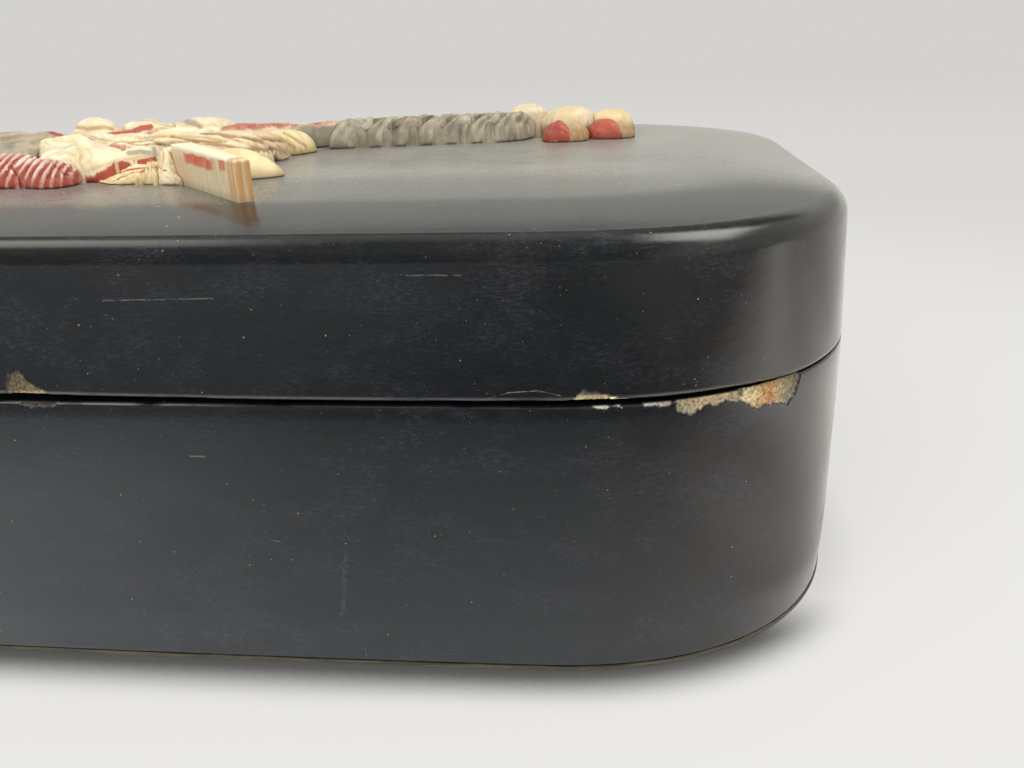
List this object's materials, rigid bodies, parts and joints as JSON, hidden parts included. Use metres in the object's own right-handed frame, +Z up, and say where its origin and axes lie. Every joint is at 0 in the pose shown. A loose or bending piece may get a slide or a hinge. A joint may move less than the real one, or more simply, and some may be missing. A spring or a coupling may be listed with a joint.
{
  "type": "lacquer box",
  "caption": "Long round-cornered black lacquer box with a lift-off lid over an inner lip, and a raised relief of painted blossom, plumes and a pine bough on the lid.",
  "frame": {"origin": "centre of the flat underside", "axes": "+X along the box to the picture's right, +Y to its back, +Z up"},
  "size_m": [0.344, 0.23, 0.1088],
  "materials": {
    "lacquer": "black lacquer, satin gloss, dusty and scuffed",
    "lacquer_inside": "black lacquer, duller than the outside",
    "bare_board": "bare olive-brown wood edge with worn lacquer",
    "cream": "carved cream soapstone or bone, polished and rubbed",
    "red": "the same carved pieces, painted red and rubbed at the high places",
    "ochre": "the same carved pieces, stained ochre",
    "green": "the same carved pieces, stained grey-green"
  },
  "bodies": {
    "box_body": {"body_floor": "bare_board", "body_wall": "lacquer", "inner_lip": "lacquer_inside"},
    "lid": {"lid_wall": "lacquer", "lid_top": "lacquer", "blossom_heart": "ochre", "blossom_petal_1": "cream", "blossom_petal_2": "cream", "blossom_petal_3": "red", "blossom_petal_4": "cream", "blossom_petal_5": "cream", "blossom_petal_6": "cream", "branch_left": "ochre", "branch_right": "ochre", "bud_left": "cream", "bud_middle": "cream", "bud_right": "cream", "cream_boulder": "cream", "cream_cap_left": "cream", "cream_cap_middle": "cream", "cream_cap_right": "cream", "end_blossom_heart": "ochre", "end_blossom_petal_1": "cream", "end_blossom_petal_2": "cream", "end_blossom_petal_3": "red", "end_blossom_petal_4": "cream", "folded_petal_back": "cream", "folded_petal_front": "cream", "folded_petal_middle": "cream", "knot_with_hole": "cream", "leaf_back_left": "green", "leaf_back_middle": "green", "leaf_back_right": "green", "leaf_end_left": "green", "leaf_front_left": "green", "long_pod": "cream", "ochre_leaf": "ochre", "pine_tuft_1": "green", "pine_tuft_2": "green", "pine_tuft_3": "green", "pine_tuft_4": "green", "pine_tuft_5": "green", "pine_tuft_6": "green", "pine_tuft_7": "green", "plume_back_left": "green", "plume_front_left": "red", "plume_inner_left": "ochre", "plume_middle_left": "cream", "pointed_petal": "cream", "red_blossom_left": "red", "red_blossom_right": "red", "red_bud": "red", "red_pleat_left": "red", "red_pleat_middle": "red", "red_pleat_right": "red", "red_ribbon": "red", "scalloped_leaf_left": "cream", "scalloped_leaf_right": "cream", "wavy_petal": "red", "wedge_slab": "cream"}
  },
  "joints": [
    {"name": "lid_lift", "type": "slide", "parent": "box_body", "child": "lid", "axis": [0, 0, 1], "range_m": [0, 0.12]}
  ]
}
